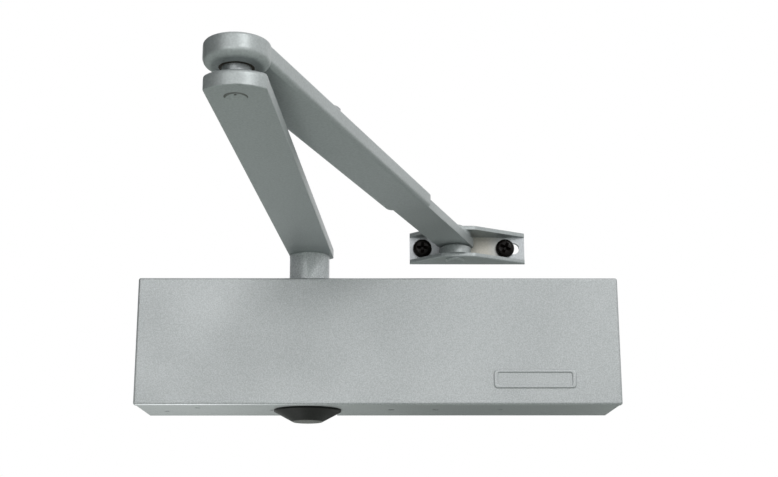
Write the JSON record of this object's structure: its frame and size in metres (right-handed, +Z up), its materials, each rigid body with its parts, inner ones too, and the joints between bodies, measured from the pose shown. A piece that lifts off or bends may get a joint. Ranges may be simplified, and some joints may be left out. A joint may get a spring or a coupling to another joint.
{
  "type": "overhead door closer",
  "caption": "Surface-mounted door closer: silver box body with a rack-and-pinion drive, scissor arm with a telescoping forearm, and a pressed frame bracket.",
  "frame": {"origin": "centre of the body's back face, which lies on the door leaf", "axes": "+X along the body to the right seen from the room, +Y out of the back face into the door, +Z up along the shaft"},
  "size_m": [0.226, 0.2971, 0.1062],
  "materials": {
    "silver_cover": "fine metallic silver lacquer",
    "casting": "as-cast aluminium with machined seats",
    "black_cap": "satin black moulding",
    "silver_arm": "silver metallic enamel on steel",
    "silver_bar": "silver metallic enamel on steel",
    "silver_bracket": "silver enamel on pressed steel",
    "silver_pin": "silver enamel on a steel rivet",
    "black_screw": "black oxide with a light oil sheen",
    "zinc_screw": "bright zinc plating",
    "bright_steel": "turned steel",
    "bearing_steel": "hardened ground steel, oiled",
    "spring_steel": "oil-tempered spring wire",
    "brass_valve": "turned brass",
    "bronze_bush": "sintered bronze",
    "seal_rubber": "black nitrile rubber"
  },
  "bodies": {
    "closer_body": {"body_casting": "casting", "front_cover": "silver_cover", "lower_shaft_cap": "black_cap", "upper_bearing": "bearing_steel", "lower_bearing": "bearing_steel", "upper_bearing_nut": "bright_steel", "lower_bearing_nut": "bright_steel", "upper_shaft_seal": "seal_rubber", "lower_shaft_seal": "seal_rubber", "left_end_plug": "bright_steel", "right_end_plug": "bright_steel", "end_plug_seals": "seal_rubber", "spring_seat": "bright_steel", "main_spring": "spring_steel"},
    "drive": {"pinion_shaft": "bearing_steel", "main_arm": "silver_arm", "arm_screw": "zinc_screw", "arm_screw_washer": "zinc_screw", "elbow_pin": "silver_pin", "elbow_washer": "zinc_screw"},
    "piston": {"rack_piston": "bearing_steel", "piston_rings": "bearing_steel", "check_valve_retainer": "bright_steel"},
    "check_ball": {"check_valve_ball": "bearing_steel"},
    "closing_valve": {"closing_speed_valve": "brass_valve", "closing_valve_seal": "seal_rubber"},
    "latch_valve": {"latch_speed_valve": "brass_valve", "latch_valve_seal": "seal_rubber"},
    "forearm": {"forearm_sleeve": "silver_arm", "elbow_bush": "bronze_bush", "length_clamp_screw": "zinc_screw", "clamp_washer": "zinc_screw"},
    "bar": {"adjusting_bar": "silver_bar", "eye_bush": "bronze_bush"},
    "bracket": {"frame_bracket": "silver_bracket", "bracket_pin": "silver_pin", "lower_pivot_collar": "silver_pin", "upper_pivot_collar": "silver_pin", "bracket_screws": "black_screw"}
  },
  "joints": [
    {"name": "arm_swing", "type": "hinge", "parent": "closer_body", "child": "drive", "pos_m": [-0.0337, -0.023, 0.046], "axis": [0, 0, 1], "range_deg": [0, 160], "stiffness_Nm_per_rad": 6, "springref_deg": -171.89},
    {"name": "piston_slide", "type": "slide", "parent": "closer_body", "child": "piston", "axis": [1, 0, 0], "range_m": [0, 0.02514], "deforming": ["main_spring"]},
    {"name": "check_ball_lift", "type": "slide", "parent": "piston", "child": "check_ball", "axis": [-1, 0, 0], "range_m": [0, 0.001]},
    {"name": "closing_valve_turn", "type": "hinge", "parent": "closer_body", "child": "closing_valve", "pos_m": [0.0062, -0.023, -0.024], "axis": [0, 0, 1], "range_deg": [-360, 360]},
    {"name": "latch_valve_turn", "type": "hinge", "parent": "closer_body", "child": "latch_valve", "pos_m": [0.0273, -0.023, -0.024], "axis": [0, 0, 1], "range_deg": [-360, 360]},
    {"name": "elbow_pivot", "type": "hinge", "parent": "drive", "child": "forearm", "pos_m": [-0.04722, -0.24399, 0.054], "axis": [0, 0, 1], "range_deg": [-150, 5]},
    {"name": "forearm_length", "type": "slide", "parent": "forearm", "child": "bar", "axis": [0.3272, 0.9449, 0], "range_m": [-0.025, 0.025]},
    {"name": "bracket_pivot", "type": "hinge", "parent": "bar", "child": "bracket", "pos_m": [0.03982, 0.00737, 0.06005], "axis": [0, 0, 1], "range_deg": [-85, 45]}
  ],
  "couplings": [
    {"joint": "piston_slide", "follows": "arm_swing", "m_per_rad": 0.009}
  ]
}
